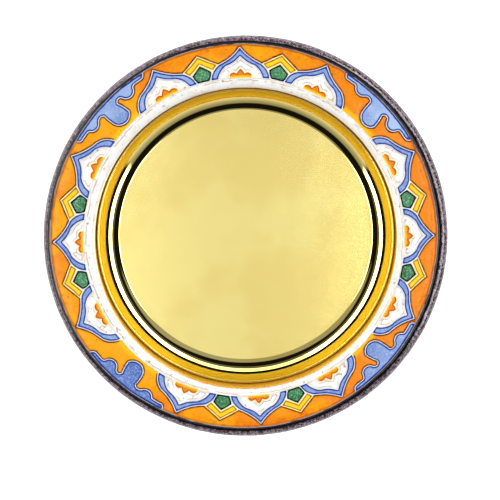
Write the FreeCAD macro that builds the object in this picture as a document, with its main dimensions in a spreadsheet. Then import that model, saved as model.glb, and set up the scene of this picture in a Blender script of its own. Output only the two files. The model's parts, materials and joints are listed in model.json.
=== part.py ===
import FreeCAD, Part
import math
import os

import Sketcher
from FreeCAD import Placement, Rotation, Vector

# Paten plate: a moulded earthenware plate whose level border is divided by raised clay
# ridges into glazed fields, with a gilt brass dish bonded into its well.
# Millimetres. +Z up, the origin is the centre of the foot ring where it rests on the table.

SIZES = {
    # earthenware plate, radii from its axis and heights above the table
    "lip_outer": 102.0,
    "lip_round": 4.6,
    "border_level": 30.0,
    "bowl_start": 60.0,
    "bowl_round": 26.0,
    "bowl_fillet": 4.0,
    "foot_outer": 57.0,
    "foot_inner": 51.0,
    "foot_draft": 0.8,
    "base_recess": 4.4,
    "well_wall": 76.0,
    "well_floor": 11.4,
    "well_corner": 3.0,
    "shoulder_round": 4.3,
    # glaze coats and the ridges that part them
    "coat": 0.4,
    "ridge": 0.5,
    "crown_ridge": 0.4,
    "cell_depth": 0.6,
    "glaze_fill": 0.45,
    # gilt brass dish
    "sheet_metal": 0.8,
    "dish_floor": 13.0,
    "dish_flat": 64.2,
    "dish_cove": 9.8,
    "dish_slope": 52.0,
    "dish_wall": 4.3,
    "bead": 0.7,
    # adhesive bed under the dish
    "bed_outer": 55.0,
    # painted motifs, in degrees about the axis
    "east_turn": 1.2,
    "north_turn": 91.95,
    "west_turn": 180.5,
    "south_turn": 274.5,
    "petal_pitch": 26.6,
    "kite_pitch": 12.9,
    "side_petal_widen": 1.1,
    "northeast_cloud": 44.5,
    "northwest_cloud": 134.8,
    "southwest_cloud": 228.9,
    "southeast_cloud": 318.7,
}

QUARTERS = ("east", "north", "west", "south")
CLOUDS = ("northeast", "northwest", "southwest", "southeast")
SIDES = (-1, 0, 1)

# Half outlines of the motifs: (degrees from the motif's centre line, radius), from the base
# ring outwards. Each runs in three-point arcs, so every second point lies halfway along an arc.
PETAL_HALF = ((9.3, 83.9), (6.6, 87.7), (2.6, 90.9), (0.0, 95.1))
WHITE_HALF = ((6.3, 84.0), (4.4, 86.4), (1.6, 88.4), (0.0, 90.7))
CROWN_HALF = ((3.8, 81.7), (3.5, 82.5), (2.8, 83.1), (1.35, 82.4), (0.75, 83.8), (0.0, 84.9))
KITE_HALF = ((2.85, 82.9), (3.2, 85.1), (1.6, 86.9), (0.0, 88.75))
PETAL_BASE = 10.1
WHITE_BASE = 7.5
CROWN_BASE = 3.7
KITE_BASE = 2.1
CHEVRON_OUTER = ((5.3, 88.0), (2.5, 90.3), (0.0, 93.2))
CHEVRON_INNER = ((3.9, 85.75), (1.95, 87.6), (0.0, 89.85))
# The kite and its chevron sit in one ridged badge, wide enough to meet the petals beside it.
BADGE_HALF = ((3.4, 80.0), (5.9, 87.9), (0.0, 93.9))
# A cloud hangs from the lip; clockwise round the plate, in three-point arcs.
CLOUD_START = -14.4
CLOUD_END = 13.0
CLOUD_EDGE = (
    (-14.2, 95.4), (-13.2, 94.9), (-12.0, 94.85), (-10.9, 94.8), (-10.2, 94.4), (-9.8, 93.4),
    (-8.3, 92.0), (-6.6, 93.0), (-4.6, 94.0), (-3.6, 92.8), (-3.65, 89.6), (-3.4, 86.2),
    (-0.3, 82.95), (2.7, 85.9), (2.3, 89.0), (1.6, 92.2), (2.7, 94.0), (4.1, 93.0),
    (6.3, 90.7), (8.1, 92.9), (8.6, 94.3), (9.6, 94.8), (10.6, 94.85), (11.6, 94.9),
    (12.6, 95.5),
)

os.makedirs("parts", exist_ok=True)
doc = FreeCAD.newDocument("paten_plate")
sheet = doc.addObject("Spreadsheet::Sheet", "Sizes")
for row, (alias, size) in enumerate(SIZES.items(), start=1):
    sheet.set(f"A{row}", alias)
    sheet.set(f"B{row}", str(size))
    sheet.setAlias(f"B{row}", alias)
doc.recompute()

BASE_EDGE = sheet.well_wall + sheet.shoulder_round + sheet.ridge
LIP_EDGE = sheet.lip_outer - sheet.lip_round - sheet.ridge
sub_parts = []


def polar(degrees, radius):
    turn = math.radians(degrees)
    return Vector(radius * math.cos(turn), radius * math.sin(turn), 0)


def arcs(points):
    """Three-point arcs end to end, as edges."""
    return [
        Part.Arc(points[i], points[i + 1], points[i + 2]).toShape()
        for i in range(0, len(points) - 2, 2)
    ]


def ring_arc(start, end, radius):
    """An edge along a circle about the plate's axis."""
    return Part.Arc(polar(start, radius), polar((start + end) / 2, radius), polar(end, radius)).toShape()


def face_of(edges):
    return Part.Face(Part.Wire(Part.__sortEdges__(edges)))


def grown(face, margin):
    """The face with a margin all round."""
    return Part.Face(face.OuterWire.makeOffset2D(margin, 0, False, False, True))


def standing_motif(turn, base, half, widen=1.0):
    """A mirror-symmetric face that stands on the base ring and points outwards."""
    side = [polar(turn + base * widen, BASE_EDGE)]
    side += [polar(turn + angle * widen, radius) for angle, radius in half]
    other = [polar(turn - base * widen, BASE_EDGE)]
    other += [polar(turn - angle * widen, radius) for angle, radius in half]
    edges = arcs(side) + arcs(other)
    edges.append(ring_arc(turn - base * widen, turn + base * widen, BASE_EDGE))
    return face_of(edges)


def petal_parts(turn, widen):
    """The blue border, white field and crown of one petal."""
    outer = standing_motif(turn, PETAL_BASE, PETAL_HALF, widen)
    inner = standing_motif(turn, WHITE_BASE, WHITE_HALF, widen)
    crown = standing_motif(turn, CROWN_BASE, CROWN_HALF, widen)
    border = outer.cut(grown(inner, sheet.ridge)).Faces[0]
    field = inner.cut(grown(crown, sheet.crown_ridge)).Faces[0]
    return {"border": border, "field": field, "crown": crown, "outer": outer}


def kite(turn):
    return standing_motif(turn, KITE_BASE, KITE_HALF)


def chevron(turn):
    edges = []
    for hand in (1, -1):
        outer = [polar(turn + hand * angle, radius) for angle, radius in CHEVRON_OUTER]
        inner = [polar(turn + hand * angle, radius) for angle, radius in CHEVRON_INNER]
        edges += arcs(outer) + arcs(inner)
        edges.append(Part.LineSegment(outer[0], inner[0]).toShape())
    return face_of(edges)


def badge(turn):
    side = [polar(turn + angle, radius) for angle, radius in BADGE_HALF]
    other = [polar(turn - angle, radius) for angle, radius in BADGE_HALF[-2::-1]]
    return Part.Face(Part.makePolygon(side + other + side[:1]))


def cloud(turn):
    edge = [polar(turn - CLOUD_START, LIP_EDGE)]
    edge += [polar(turn - angle, radius) for angle, radius in CLOUD_EDGE]
    edge.append(polar(turn - CLOUD_END, LIP_EDGE))
    return face_of(arcs(edge) + [ring_arc(turn - CLOUD_START, turn - CLOUD_END, LIP_EDGE)])


def disc(radius):
    return Part.Face(Part.Wire(Part.makeCircle(radius)))


def sketch_geometry(shape):
    """Sketch lines and arcs along every edge of a flat shape."""
    geometry = []
    for edge in shape.Edges:
        ends = [vertex.Point for vertex in edge.Vertexes]
        if isinstance(edge.Curve, Part.Line):
            geometry.append(Part.LineSegment(ends[0], ends[-1]))
        elif edge.isClosed():
            geometry.append(Part.Circle(edge.Curve.Center, Vector(0, 0, 1), edge.Curve.Radius))
        else:
            middle = edge.valueAt((edge.FirstParameter + edge.LastParameter) / 2)
            geometry.append(Part.Arc(ends[0], middle, ends[-1]))
    return geometry


def new_body(label):
    body = doc.addObject("PartDesign::Body", label)
    body.Label = label
    sub_parts.append(body)
    return body


def plane_sketch(body, name, role):
    """An empty sketch on one of the body's own origin planes."""
    sketch = body.newObject("Sketcher::SketchObject", name)
    plane = next(item for item in body.Origin.OriginFeatures if item.Role == role)
    sketch.AttachmentSupport = [(plane, "")]
    sketch.MapMode = "FlatFace"
    return sketch


def level_sketch(body, name, shapes, level):
    """A sketch of flat shapes at a height given as an expression."""
    sketch = plane_sketch(body, name, "XY_Plane")
    sketch.setExpression("AttachmentOffset.Base.z", level)
    for shape in shapes:
        sketch.addGeometry(sketch_geometry(shape), False)
    return sketch


def arc_between(start, end, radius, hand):
    """The short arc from start to end; hand 1 turns left on the way, -1 turns right."""
    chord = end - start
    reach = math.sqrt(max(radius ** 2 - (chord.Length / 2) ** 2, 0))
    left = Vector(-chord.y, chord.x, 0).normalize()
    middle = start + chord / 2
    centre = middle + left * reach * hand
    crown = centre + (middle - centre).normalize() * radius
    return Part.Arc(start, crown, end)


def section_sketch(body, name, corners):
    """A closed section in the XZ plane, every corner and radius bound to the sheet.

    Each corner is (radius, height) and the line that leaves it is straight, or
    (radius, height, arc radius, hand) and it is an arc.
    """
    sketch = plane_sketch(body, name, "XZ_Plane")
    points = [
        Vector(sketch.evalExpression(corner[0]), sketch.evalExpression(corner[1]), 0)
        for corner in corners
    ]
    for index, corner in enumerate(corners):
        start = points[index]
        end = points[(index + 1) % len(points)]
        if len(corner) == 2:
            sketch.addGeometry(Part.LineSegment(start, end), False)
        else:
            radius = sketch.evalExpression(corner[2])
            sketch.addGeometry(arc_between(start, end, radius, corner[3]), False)
            bound = sketch.addConstraint(Sketcher.Constraint("Radius", index, radius))
            sketch.setExpression(f"Constraints[{bound}]", corner[2])
    for index, corner in enumerate(corners):
        # A sketch arc always runs anticlockwise, so a right-hand one starts at its far end.
        vertex = 2 if len(corner) == 4 and corner[3] == -1 else 1
        before = corners[index - 1]
        last = 1 if len(before) == 4 and before[3] == -1 else 2
        sketch.addConstraint(
            Sketcher.Constraint("Coincident", (index - 1) % len(corners), last, index, vertex)
        )
        for direction, text, value in (
            ("DistanceX", corner[0], points[index].x),
            ("DistanceY", corner[1], points[index].y),
        ):
            if text == "0":
                axis = -2 if direction == "DistanceX" else -1
                sketch.addConstraint(Sketcher.Constraint("PointOnObject", index, vertex, axis))
            else:
                pinned = sketch.addConstraint(Sketcher.Constraint(direction, index, vertex, value))
                sketch.setExpression(f"Constraints[{pinned}]", text)
    return sketch


def revolved(label, corners):
    """A body of revolution about the plate's axis."""
    body = new_body(label)
    sketch = section_sketch(body, label + "_section", corners)
    turned = body.newObject("PartDesign::Revolution", label + "_revolution")
    turned.Profile = sketch
    turned.ReferenceAxis = (sketch, ["V_Axis"])
    turned.Angle = 360
    return body


def glaze_pads(label, shapes, turn=None):
    """Flat glaze fields that fill their cells to just under the ridges."""
    body = new_body(label)
    sketch = level_sketch(body, label + "_outline", shapes, "Sizes.border_level - Sizes.cell_depth")
    pad = body.newObject("PartDesign::Pad", label + "_pad")
    pad.Profile = sketch
    pad.setExpression("Length", "Sizes.glaze_fill")
    if turn:
        body.Placement = Placement(Vector(), Rotation(Vector(0, 0, 1), 1))
        body.setExpression("Placement.Rotation.Angle", turn)
    return body


def cell_pocket(body, name, shapes):
    """Cells sunk in the border; each must really take clay away."""
    before = body.Shape.Volume
    sketch = level_sketch(body, name + "_outline", shapes, "Sizes.border_level")
    pocket = body.newObject("PartDesign::Pocket", name)
    pocket.Profile = sketch
    pocket.setExpression("Length", "Sizes.cell_depth")
    doc.recompute()
    expected = sum(shape.Area for shape in shapes) * sheet.cell_depth
    removed = before - body.Shape.Volume
    if abs(removed - expected) > 0.01 * expected:
        raise RuntimeError(f"{name} removes {removed:.2f}, not {expected:.2f} cubic millimetres")


# Sections. The outside of the plate is a run of tangent lines and arcs: bowl, fillet, flange and
# lip. The clay lies one coat inside it, and the glaze shells fill the space between.
LIP_CENTRE = "Sizes.lip_outer - Sizes.lip_round"
LIP_HEIGHT = "Sizes.border_level - Sizes.lip_round"
FLANGE = "Sizes.border_level - 2 * Sizes.lip_round"
SPAN = "(Sizes.bowl_round + Sizes.bowl_fillet)"
DROP = "(2 * Sizes.lip_round + Sizes.bowl_fillet)"
RUN = f"sqrt({SPAN} * {SPAN} - {DROP} * {DROP})"
SHOULDER = "Sizes.well_wall + Sizes.shoulder_round"
SHOULDER_HEIGHT = "Sizes.border_level - Sizes.shoulder_round"
WELL_GLAZE_END = "Sizes.well_floor + Sizes.well_corner"


def outside(coat):
    """The outer side from the foot to the top of the lip, a coat's depth inside the surface."""
    bowl = f"(Sizes.bowl_round - {coat})"
    fillet = f"Sizes.bowl_fillet + {coat}"
    lip = f"Sizes.lip_round - {coat}"
    return [
        ("Sizes.foot_outer", f"Sizes.border_level - {bowl}"),
        ("Sizes.bowl_start", f"Sizes.border_level - {bowl}", bowl, 1),
        (
            f"Sizes.bowl_start + {bowl} * {RUN} / {SPAN}",
            f"Sizes.border_level - {bowl} * {DROP} / {SPAN}",
            fillet,
            -1,
        ),
        (f"Sizes.bowl_start + {RUN}", f"{FLANGE} + {coat}"),
        (LIP_CENTRE, f"{FLANGE} + {coat}", lip, 1),
        (f"Sizes.lip_outer - {coat}", LIP_HEIGHT, lip, 1),
        (LIP_CENTRE, f"Sizes.border_level - {coat}"),
    ]


def backwards(corners):
    """The same run of corners, taken the other way."""
    flipped = []
    for index in range(len(corners) - 1, -1, -1):
        arc = corners[index - 1][2:] if index > 0 else ()
        turn = (arc[0], -arc[1]) if arc else ()
        flipped.append(corners[index][:2] + turn)
    return flipped


SURFACE = outside("0")
CLAY = outside("Sizes.coat")

plate = revolved(
    "ceramic_body",
    [
        ("0", "Sizes.base_recess"),
        ("Sizes.foot_inner", "Sizes.base_recess"),
        ("Sizes.foot_inner + Sizes.foot_draft", "0"),
        ("Sizes.foot_outer - Sizes.foot_draft", "0"),
    ]
    + CLAY
    + [
        (LIP_CENTRE, "Sizes.border_level"),
        (SHOULDER, "Sizes.border_level"),
        (SHOULDER, "Sizes.border_level - Sizes.coat", "Sizes.shoulder_round - Sizes.coat", 1),
        ("Sizes.well_wall + Sizes.coat", SHOULDER_HEIGHT),
        ("Sizes.well_wall + Sizes.coat", WELL_GLAZE_END, "Sizes.well_corner", -1),
        ("Sizes.well_wall + Sizes.coat - Sizes.well_corner", "Sizes.well_floor"),
        ("0", "Sizes.well_floor"),
    ],
)
revolved("lip_glaze", SURFACE[4:6] + [(LIP_CENTRE, "Sizes.border_level")] + backwards(CLAY[4:7]))
revolved("back_glaze", SURFACE[:4] + [SURFACE[4][:2]] + backwards(CLAY[:5]))
revolved(
    "shoulder_glaze",
    [
        (SHOULDER, "Sizes.border_level", "Sizes.shoulder_round", 1),
        ("Sizes.well_wall", SHOULDER_HEIGHT),
        ("Sizes.well_wall", WELL_GLAZE_END),
        ("Sizes.well_wall + Sizes.coat", WELL_GLAZE_END),
        ("Sizes.well_wall + Sizes.coat", SHOULDER_HEIGHT, "Sizes.shoulder_round - Sizes.coat", -1),
        (SHOULDER, "Sizes.border_level - Sizes.coat"),
    ],
)

# The dish: flat floor, cove, sloping wall and a rolled bead round its rim.
SINE = "sin(Sizes.dish_slope)"
COSINE = "cos(Sizes.dish_slope)"
COVE_HEIGHT = "(Sizes.dish_floor + Sizes.dish_cove)"
BEAD_RADIUS = (
    f"(Sizes.dish_flat + (Sizes.dish_cove + Sizes.sheet_metal / 2) * {SINE} + Sizes.dish_wall * {COSINE})"
)
BEAD_HEIGHT = (
    f"({COVE_HEIGHT} - (Sizes.dish_cove + Sizes.sheet_metal / 2) * {COSINE} + Sizes.dish_wall * {SINE})"
)
NECK = "sqrt(Sizes.bead * Sizes.bead - Sizes.sheet_metal * Sizes.sheet_metal / 4)"
UNDER_COVE = "(Sizes.dish_cove + Sizes.sheet_metal)"
revolved(
    "gilt_dish",
    [
        ("0", "Sizes.dish_floor - Sizes.sheet_metal"),
        ("Sizes.dish_flat", "Sizes.dish_floor - Sizes.sheet_metal", UNDER_COVE, 1),
        (f"Sizes.dish_flat + {UNDER_COVE} * {SINE}", f"{COVE_HEIGHT} - {UNDER_COVE} * {COSINE}"),
        (
            f"{BEAD_RADIUS} + Sizes.sheet_metal / 2 * {SINE} - {NECK} * {COSINE}",
            f"{BEAD_HEIGHT} - Sizes.sheet_metal / 2 * {COSINE} - {NECK} * {SINE}",
            "Sizes.bead",
            1,
        ),
        (f"{BEAD_RADIUS} + Sizes.bead", BEAD_HEIGHT, "Sizes.bead", 1),
        (BEAD_RADIUS, f"{BEAD_HEIGHT} + Sizes.bead", "Sizes.bead", 1),
        (
            f"{BEAD_RADIUS} - Sizes.sheet_metal / 2 * {SINE} - {NECK} * {COSINE}",
            f"{BEAD_HEIGHT} + Sizes.sheet_metal / 2 * {COSINE} - {NECK} * {SINE}",
        ),
        (
            f"Sizes.dish_flat + Sizes.dish_cove * {SINE}",
            f"{COVE_HEIGHT} - Sizes.dish_cove * {COSINE}",
            "Sizes.dish_cove",
            -1,
        ),
        ("Sizes.dish_flat", "Sizes.dish_floor"),
        ("0", "Sizes.dish_floor"),
    ],
)

bed = doc.addObject("Part::Cylinder", "adhesive_bed")
bed.Label = "adhesive_bed"
bed.setExpression("Radius", "Sizes.bed_outer")
bed.setExpression("Height", "Sizes.dish_floor - Sizes.sheet_metal - Sizes.well_floor")
bed.setExpression("Placement.Base.z", "Sizes.well_floor")
sub_parts.append(bed)
doc.recompute()

# Cells and glaze fields of the border. Petals and kites repeat in four quarters of three and two.
petals = []
kites = []
chevrons = []
fenced = []
for quarter in QUARTERS:
    centre = getattr(sheet, quarter + "_turn")
    for side in SIDES:
        widen = sheet.side_petal_widen if side else 1.0
        turn = centre + side * sheet.petal_pitch
        petals.append(petal_parts(turn, widen))
        fenced.append(grown(petals[-1]["outer"], sheet.ridge))
    for side in (-1, 1):
        turn = centre + side * sheet.kite_pitch
        kites.append(kite(turn))
        chevrons.append(chevron(turn))
        fenced.append(badge(turn))
clouds = [cloud(getattr(sheet, name + "_cloud")) for name in CLOUDS]
fenced += [grown(shape, sheet.ridge) for shape in clouds]
ground = disc(LIP_EDGE).cut([disc(BASE_EDGE)] + fenced)

cell_pocket(plate, "ground_cell", ground.Faces)
cell_pocket(plate, "cloud_cells", clouds)
cell_pocket(plate, "petal_border_cells", [parts["border"] for parts in petals])
cell_pocket(plate, "petal_field_cells", [parts["field"] for parts in petals])
cell_pocket(plate, "crown_cells", [parts["crown"] for parts in petals])
cell_pocket(plate, "kite_cells", kites)
cell_pocket(plate, "chevron_cells", chevrons)

glaze_pads("ground_glaze", ground.Faces)
for name in CLOUDS:
    glaze_pads("blue_cloud_" + name, [cloud(0)], f"Sizes.{name}_cloud")
for quarter in QUARTERS:
    turned = f"Sizes.{quarter}_turn"
    crowns = []
    for number, side in enumerate(SIDES, start=1):
        widen = sheet.side_petal_widen if side else 1.0
        shapes = petal_parts(0, widen)
        crowns.append(petal_parts(side * sheet.petal_pitch, widen)["crown"])
        turn = f"{turned} + {side} * Sizes.petal_pitch"
        glaze_pads(f"petal_border_{quarter}_{number}", [shapes["border"]], turn)
        glaze_pads(f"petal_field_{quarter}_{number}", [shapes["field"]], turn)
    glaze_pads(f"crowns_{quarter}", crowns, turned)
    for number, side in enumerate((-1, 1), start=1):
        turn = f"{turned} + {side} * Sizes.kite_pitch"
        glaze_pads(f"green_kite_{quarter}_{number}", [kite(0)], turn)
        glaze_pads(f"yellow_chevron_{quarter}_{number}", [chevron(0)], turn)
doc.recompute()

for item in doc.Objects:
    if {"Invalid", "Error"} & set(item.State):
        raise RuntimeError(f"{item.Label} failed: {item.State}")
for item in sub_parts:
    if item.Shape.isNull() or not item.Shape.isValid():
        raise RuntimeError(f"{item.Label} has no valid shape")
    item.Shape.exportStep(f"parts/{item.Label}.step")
    print(f"{item.Label}: {len(item.Shape.Solids)} solid, {item.Shape.Volume / 1000:.3f} cm3")
print(len(sub_parts), "sub-parts")
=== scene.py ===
import json
import math

import bmesh
import bpy
import numpy as np
from mathutils import Matrix, Vector, geometry, kdtree, noise


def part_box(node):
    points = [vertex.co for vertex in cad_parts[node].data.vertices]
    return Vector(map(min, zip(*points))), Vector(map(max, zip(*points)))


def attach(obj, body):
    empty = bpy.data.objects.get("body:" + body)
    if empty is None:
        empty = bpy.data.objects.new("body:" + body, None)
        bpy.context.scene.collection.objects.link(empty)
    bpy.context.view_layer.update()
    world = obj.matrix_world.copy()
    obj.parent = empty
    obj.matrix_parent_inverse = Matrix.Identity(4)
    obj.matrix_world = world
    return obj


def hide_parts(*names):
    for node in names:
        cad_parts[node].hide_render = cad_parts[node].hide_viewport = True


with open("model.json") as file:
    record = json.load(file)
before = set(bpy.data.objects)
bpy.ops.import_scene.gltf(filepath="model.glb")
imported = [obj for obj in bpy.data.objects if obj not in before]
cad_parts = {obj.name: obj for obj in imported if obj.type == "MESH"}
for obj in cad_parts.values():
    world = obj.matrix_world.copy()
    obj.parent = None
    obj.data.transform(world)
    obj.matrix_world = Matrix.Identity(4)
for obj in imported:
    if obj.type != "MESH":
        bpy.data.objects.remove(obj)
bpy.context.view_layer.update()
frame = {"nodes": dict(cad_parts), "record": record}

MM = 0.001

# Sizes in millimetres. What the frame's boxes give is read off them, the rest are the plate's own.
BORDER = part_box("ceramic_body")[1].z / MM
LIP_ROUND = (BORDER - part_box("lip_glaze")[0].z / MM) / 2
LIP_OUTER = 102.0
LIP_CENTRE = LIP_OUTER - LIP_ROUND
LIP_HEIGHT = BORDER - LIP_ROUND
CELL_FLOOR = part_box("ground_glaze")[0].z / MM
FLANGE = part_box("lip_glaze")[0].z / MM
WELL_WALL = 76.0
SHOULDER_ROUND = 4.3
SHOULDER = WELL_WALL + SHOULDER_ROUND
WELL_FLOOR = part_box("adhesive_bed")[0].z / MM
WELL_CORNER = 3.0
COAT = 0.4
BOWL_START = 60.0
BOWL_ROUND = 26.0
BOWL_FILLET = 4.0
FOOT_OUTER = 57.0
FOOT_INNER = 51.0
FOOT_DRAFT = 0.8
BASE_RECESS = 4.4
DISH_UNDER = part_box("gilt_dish")[0].z / MM
SHEET_METAL = 0.8
DISH_FLOOR = DISH_UNDER + SHEET_METAL
DISH_FLAT = 64.2
DISH_COVE = 9.8
DISH_SLOPE = math.radians(52.0)
DISH_WALL = 4.3
BEAD = 0.7

# The narrow bend between the dish's floor and its cove, and how many degrees it turns.
CREASE = 0.2
CREASE_SLOPE = 5.0

# The relief: ridges with round crests, and glazes that dip beside them and swell in the open.
EDGE_LEVEL = BORDER - 0.1
RIDGE_CREST = 0.3
RIDGE_HALF = 0.25
GLAZE_DIP = 0.2
DIP_WIDTH = 0.3
GLAZE_PILLOW = 0.12
PILLOW_RISE = (0.8, 3.0)

# How finely the meshes are cut, and how near to each other points may lie.
SEGMENTS = 720
DISH_SEGMENTS = 480
SPACING = 0.6
MARGINS = (RIDGE_HALF, 0.6, 1.0)
MARGIN_CLEAR = 0.93
GRID = 1.1
ROW_STEP = 0.866
GRID_CLEAR = 1.3
CROWD_CELL = 0.2
CROWD = 0.17
WELD = 0.002
SHARP_ANGLE = math.radians(50)

# The hand-made border: how far it lies off centre, and the waves of its lines. A wave is given
# by how many lie to a millimetre, and by how far it shifts and lifts them.
OFF_CENTRE = (-1.05, 0.6)
SLOW_WAVE = 0.035
SLOW_SHIFT = 0.25
SLOW_LIFT = 0.12
QUICK_WAVE = 0.14
QUICK_SHIFT = 0.16
QUICK_LIFT = 0.04

# The swellings of the lip's glaze, which start a little way out from the border and then grow.
SWELL_START = 0.4
SWELL_FADE = 2
BROAD_WAVE = 0.12
BROAD_SWELL = 0.10
FINE_WAVE = 0.5
FINE_SWELL = 0.07
SWELL_SINK = 0.08
SWELL_LIFT = 0.6

# Colours on the ridges: how far a field tints them, and where the lip's dark sets in.
TINT_REACH = 0.7
DARK_START = 0.6
DARK_FULL = 0.45

# The "gap" attribute where no ridge is near, and how far down the shoulder it is measured.
FAR_GAP = 5.0
SHOULDER_TOP = 1.0

# The painted amber reflection of the gold dish on the wall of the well: depths where it starts and is full,
# and its lean.
GOLD_REFLECTION_START = 2.6
GOLD_REFLECTION_FULL = 4.2
GOLD_REFLECTION_LEAN = 1.6


# ---------------------------------------------------------------- hand-made irregularity

def smooth(value, low, high):
    part = np.clip((value - low) / (high - low), 0.0, 1.0)
    return part * part * (3 - 2 * part)


def warped(points):
    """The border was laid on by hand: it sits a little off centre and its lines waver.

    Blender seeds noise_vector from the clock, so the waver differs a little from run to run.
    """
    points = np.array(points, float)
    radius = np.hypot(points[:, 0], points[:, 1])
    hold = smooth(radius, WELL_WALL, SHOULDER) * (1 - smooth(radius, LIP_CENTRE, LIP_OUTER))
    hold *= (points[:, 2] > FLANGE + LIP_ROUND / 2)
    moved = points.copy()
    for index in np.nonzero(hold > 0.001)[0]:
        x, y, z = points[index]
        slow = noise.noise_vector(Vector((x * SLOW_WAVE, y * SLOW_WAVE, 1.7)))
        quick = noise.noise_vector(Vector((x * QUICK_WAVE, y * QUICK_WAVE, 5.1)))
        out = (OFF_CENTRE[0] * x + OFF_CENTRE[1] * y) / radius[index]
        share = hold[index]
        moved[index, 0] += share * (out * x / radius[index] + SLOW_SHIFT * slow.x + QUICK_SHIFT * quick.x)
        moved[index, 1] += share * (out * y / radius[index] + SLOW_SHIFT * slow.y + QUICK_SHIFT * quick.y)
        moved[index, 2] += share * (SLOW_LIFT * slow.z + QUICK_LIFT * quick.z)
    return moved


# ---------------------------------------------------------------- meshes

def new_piece(name, points, faces, materials, nodes, indices=None):
    """A mesh object in millimetres that rides with the plate and stands for CAD nodes."""
    mesh = bpy.data.meshes.new(name)
    mesh.from_pydata([Vector(point) * MM for point in points], [], faces)
    for material in materials:
        mesh.materials.append(material)
    if indices is not None:
        mesh.polygons.foreach_set("material_index", indices)
    mesh.polygons.foreach_set("use_smooth", [True] * len(mesh.polygons))
    mesh.validate()
    piece = bpy.data.objects.new(name, mesh)
    bpy.context.scene.collection.objects.link(piece)
    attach(piece, "root")
    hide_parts(*nodes)
    return piece


def set_attribute(piece, name, values):
    attribute = piece.data.attributes.new(name, "FLOAT", "POINT")
    attribute.data.foreach_set("value", np.asarray(values, np.float32))


def bend(centre, radius, start, end, steps):
    """Points along an arc of a section, angles in degrees, both ends included."""
    turns = np.radians(np.linspace(start, end, steps + 1))
    return [(centre[0] + radius * math.cos(t), centre[1] + radius * math.sin(t)) for t in turns]


def between(start, end, i, parts):
    """The point that lies i of the parts of the way from start to end."""
    return (start[0] + (end[0] - start[0]) * i / parts, start[1] + (end[1] - start[1]) * i / parts)


def run(start, end, steps):
    """Points along a straight stretch of a section, both ends included."""
    return [between(start, end, i, steps) for i in range(steps + 1)]


def nearest(section, point):
    """Where in a section the point nearest to another is."""
    return min(range(len(section)), key=lambda i: math.dist(section[i], point))


def joined(*stretches):
    """One section from several stretches, without repeated points."""
    points = []
    for stretch in stretches:
        for point in stretch:
            if not points or math.dist(points[-1], point) > 1e-6:
                points.append(point)
    return points


def lathe(profile, closed, segments=SEGMENTS):
    """Points and faces of a section turned about the axis. Points on the axis become poles."""
    points = []
    rings = []
    turns = [2 * math.pi * i / segments for i in range(segments)]
    for radius, height in profile:
        if radius < 1e-6:
            rings.append([len(points)] * segments)
            points.append((0.0, 0.0, height))
        else:
            rings.append(list(range(len(points), len(points) + segments)))
            points += [(radius * math.cos(t), radius * math.sin(t), height) for t in turns]
    faces = []
    count = len(rings)
    for lower in range(count if closed else count - 1):
        upper = (lower + 1) % count
        for i in range(segments):
            j = (i + 1) % segments
            corners = (rings[lower][i], rings[lower][j], rings[upper][j], rings[upper][i])
            face = list(dict.fromkeys(corners))
            if len(face) > 2:
                faces.append(face)
    return points, faces


def outside(coat):
    """The underside and lip in section, from the foot to the top of the lip."""
    bowl = BOWL_ROUND - coat
    fillet = BOWL_FILLET + coat
    lip = LIP_ROUND - coat
    drop = 2 * LIP_ROUND + BOWL_FILLET
    reach = math.sqrt((BOWL_ROUND + BOWL_FILLET) ** 2 - drop ** 2)
    lean = math.degrees(math.asin(drop / (BOWL_ROUND + BOWL_FILLET)))
    return joined(
        [(FOOT_OUTER, BORDER - bowl)],
        bend((BOWL_START, BORDER), bowl, -90, -lean, 16),
        bend((BOWL_START + reach, BORDER - drop), fillet, 180 - lean, 90, 6),
        bend((LIP_CENTRE, LIP_HEIGHT), lip, -90, 90, 28),
    )


# ---------------------------------------------------------------- the border's fields

def loops_of(node):
    """The outlines of a CAD glaze field's upper face, each a closed list of points."""
    mesh = frame["nodes"][node].data
    top = max(vertex.co.z for vertex in mesh.vertices) - 1e-5
    uses = {}
    for polygon in mesh.polygons:
        corners = [mesh.vertices[i].co for i in polygon.vertices]
        if min(corner.z for corner in corners) < top:
            continue
        keys = [(round(corner.x / MM, 3), round(corner.y / MM, 3)) for corner in corners]
        for start, end in zip(keys, keys[1:] + keys[:1]):
            uses.setdefault(frozenset((start, end)), []).append((start, end))
    following = {}
    for pairs in uses.values():
        if len(pairs) == 1 and pairs[0][0] != pairs[0][1]:
            following[pairs[0][0]] = pairs[0][1]
    loops = []
    while following:
        start, point = following.popitem()
        loop = [start]
        while point != start:
            loop.append(point)
            point = following.pop(point)
        loops.append(spaced(loop))
    return loops


def spaced(loop):
    """The loop with its long edges divided."""
    points = []
    for start, end in zip(loop, loop[1:] + loop[:1]):
        parts = max(1, math.ceil(math.dist(start, end) / SPACING))
        points += [between(start, end, i, parts) for i in range(parts)]
    return points


def circle(radius):
    return [
        (radius * math.cos(2 * math.pi * i / SEGMENTS), radius * math.sin(2 * math.pi * i / SEGMENTS))
        for i in range(SEGMENTS)
    ]


def inside(places, loops):
    """For each place, whether it lies in the field that the loops bound."""
    places = np.asarray(places, float)
    x = places[:, 0, None]
    y = places[:, 1, None]
    odd = np.zeros(len(places), bool)
    for loop in loops:
        x0, y0 = np.array(loop).T
        x1, y1 = np.roll(x0, -1), np.roll(y0, -1)
        rise = np.where(y1 == y0, 1.0, y1 - y0)
        crossed = ((y0 > y) != (y1 > y)) & (x < x0 + (y - y0) / rise * (x1 - x0))
        odd ^= crossed.sum(axis=1) % 2 == 1
    return odd


def span(loops):
    """The least and greatest x, then the least and greatest y, of some outlines."""
    x, y = zip(*(point for loop in loops for point in loop))
    return min(x), max(x), min(y), max(y)


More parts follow.
